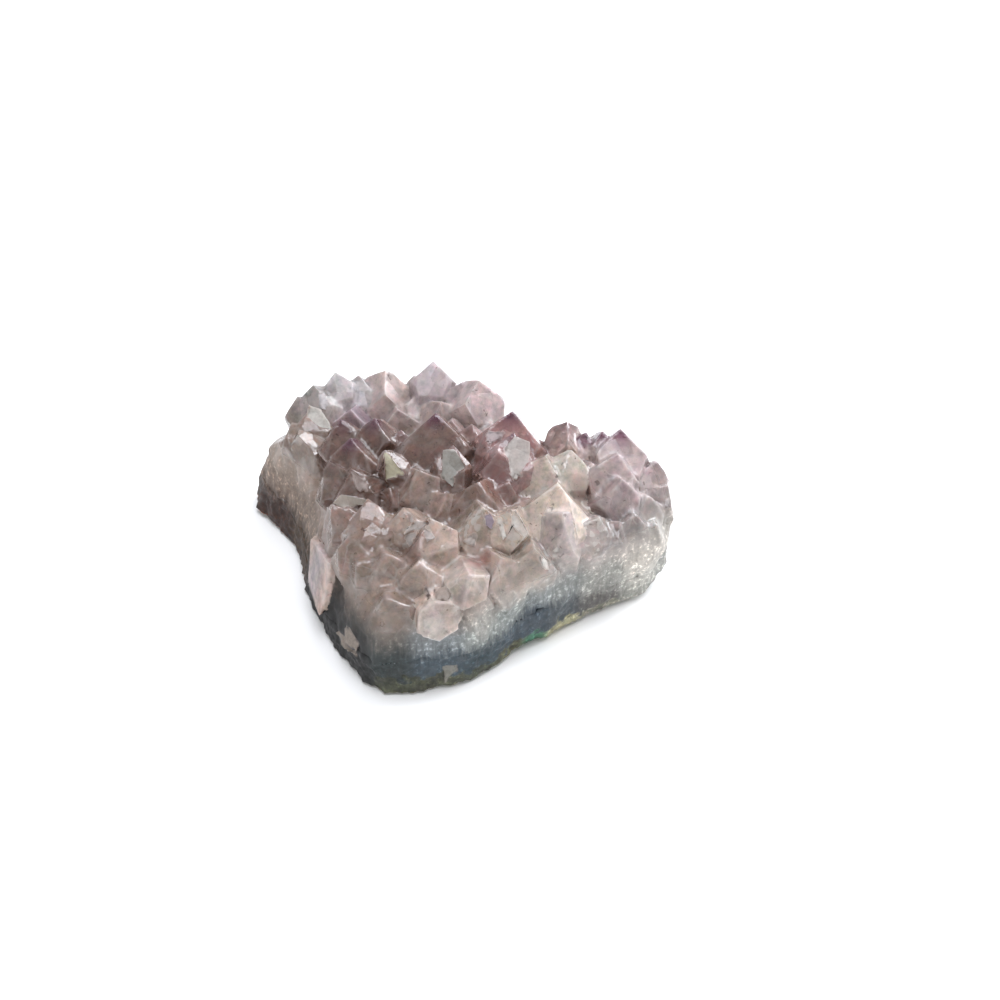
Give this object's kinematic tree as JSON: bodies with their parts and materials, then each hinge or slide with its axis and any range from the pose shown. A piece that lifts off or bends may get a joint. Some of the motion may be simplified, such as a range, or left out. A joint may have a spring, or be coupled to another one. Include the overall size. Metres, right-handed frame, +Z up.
{
  "type": "amethyst cluster",
  "caption": "Palm-sized amethyst cluster, roughly heart-shaped from above: pale violet quartz points with darker tips, grown on a milky bed over a thin dark chalcedony rind.",
  "frame": {"origin": "middle of the outline seen from above, on the plane of the flat underside", "axes": "+X along the longest side, from the back lobe towards the right lobe; +Y from the front corner to the back; +Z up, out of the crystals"},
  "size_m": [0.0776, 0.0624, 0.0314],
  "materials": {
    "amethyst": "see-through quartz with natural glossy growth faces, violet at the tips and milky at the roots",
    "chalcedony": "rough broken stone, blue-grey and fibrous with a brown and cream weathered skin"
  },
  "bodies": {
    "root": {"amethyst_crystals": "amethyst", "chalcedony_rind": "chalcedony"}
  },
  "joints": []
}
